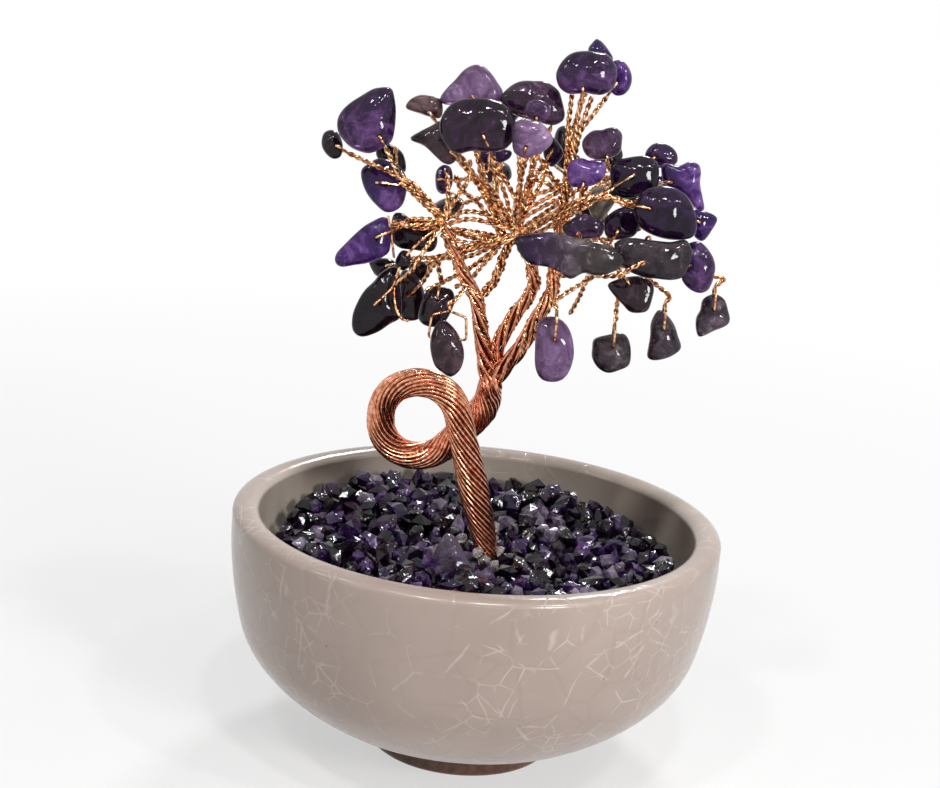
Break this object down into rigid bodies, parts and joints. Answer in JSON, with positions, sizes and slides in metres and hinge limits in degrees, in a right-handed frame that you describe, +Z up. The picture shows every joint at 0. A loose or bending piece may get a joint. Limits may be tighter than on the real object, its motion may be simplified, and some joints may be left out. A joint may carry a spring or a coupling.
{
  "type": "gemstone tree ornament",
  "caption": "Small ornamental tree of twisted copper wire with one loop in its trunk, tumbled amethyst chips on wire eyes and crushed amethyst in a glazed bowl.",
  "frame": {"origin": "centre of the bowl's foot ring, on the plane that it stands on", "axes": "+Z up; +X to the viewer's right; the viewer looks along +Y, so the trunk's loop lies on the -X side and faces -Y"},
  "size_m": [0.07, 0.07, 0.1027],
  "materials": {
    "glaze": "warm off-white crackle glaze, glossy, with a bare brown foot ring",
    "plaster": "matt plaster stained by the crushed stone",
    "clear_glue": "clear set glue",
    "copper": "bright copper wire, twisted",
    "amethyst_deep": "polished, translucent",
    "amethyst_dark": "polished, nearly opaque",
    "amethyst_violet": "polished, translucent",
    "amethyst_pale": "polished, cloudy lilac",
    "smoky_quartz": "polished, clear grey with purple zones"
  },
  "bodies": {
    "tree": {"back_chips": "amethyst_dark", "bowl": "glaze", "chip_left_crest": "amethyst_deep", "chip_left_finger": "amethyst_violet", "chip_left_heavy": "amethyst_dark", "chip_left_inner": "amethyst_dark", "chip_left_lower": "amethyst_dark", "chip_lilac_front": "amethyst_pale", "chip_quartz": "smoky_quartz", "chip_right_back": "amethyst_deep", "chip_right_bright": "amethyst_violet", "chip_right_bumped": "amethyst_pale", "chip_right_down": "amethyst_dark", "chip_right_end": "amethyst_deep", "chip_right_inner": "amethyst_deep", "chip_right_large": "amethyst_deep", "chip_right_pale": "amethyst_violet", "chip_right_shelf": "smoky_quartz", "chip_tip_main": "amethyst_deep", "chip_top_crown": "amethyst_deep", "chip_top_front": "amethyst_deep", "chip_top_peak": "amethyst_pale", "chip_top_pointed": "amethyst_dark", "chip_violet_leaf": "amethyst_violet", "gravel_dark": "amethyst_dark", "gravel_pale": "amethyst_pale", "gravel_violet": "amethyst_violet", "limb_branch": "copper", "limb_left": "copper", "limb_middle": "copper", "limb_right": "copper", "limb_tip": "copper", "long_shard": "smoky_quartz", "plaster_fill": "plaster", "root_glue": "clear_glue", "small_chips_left": "amethyst_dark", "small_chips_right": "amethyst_violet", "small_chips_top": "amethyst_violet", "trunk": "copper", "twigs_back_left": "copper", "twigs_back_right": "copper", "twigs_hanging": "copper", "twigs_left": "copper", "twigs_lower_left": "copper", "twigs_right_front": "copper", "twigs_right_lower": "copper", "twigs_right_middle": "copper", "twigs_right_upper": "copper", "twigs_tip": "copper", "twigs_top": "copper", "twigs_top_front": "copper", "twigs_top_left": "copper", "twigs_upper_left": "copper", "wire_arched": "copper", "wire_dropped": "copper"},
    "left_drop": {"chip_hanging_left": "amethyst_dark"},
    "lilac_drop": {"chip_hanging_lilac": "amethyst_pale"},
    "clear_drop": {"chip_hanging_clear": "smoky_quartz"},
    "grey_drop": {"chip_hanging_grey": "smoky_quartz"},
    "end_drop": {"chip_hanging_end": "smoky_quartz"}
  },
  "joints": [
    {"name": "left_drop_swing", "type": "hinge", "parent": "tree", "child": "left_drop", "pos_m": [-0.0063, -0.00518, 0.06168], "axis": [1, 0, 0], "range_deg": [-25, 25]},
    {"name": "lilac_drop_swing", "type": "hinge", "parent": "tree", "child": "lilac_drop", "pos_m": [0.00838, -0.00598, 0.06337], "axis": [0, 1, 0], "range_deg": [-25, 25]},
    {"name": "clear_drop_swing", "type": "hinge", "parent": "tree", "child": "clear_drop", "pos_m": [0.0167, -0.00224, 0.06217], "axis": [0, 1, 0], "range_deg": [-25, 25]},
    {"name": "grey_drop_swing", "type": "hinge", "parent": "tree", "child": "grey_drop", "pos_m": [0.02349, -0.00099, 0.06505], "axis": [0, 1, 0], "range_deg": [-25, 25]},
    {"name": "end_drop_swing", "type": "hinge", "parent": "tree", "child": "end_drop", "pos_m": [0.02989, -0.00301, 0.06871], "axis": [0, 1, 0], "range_deg": [-25, 25]}
  ]
}
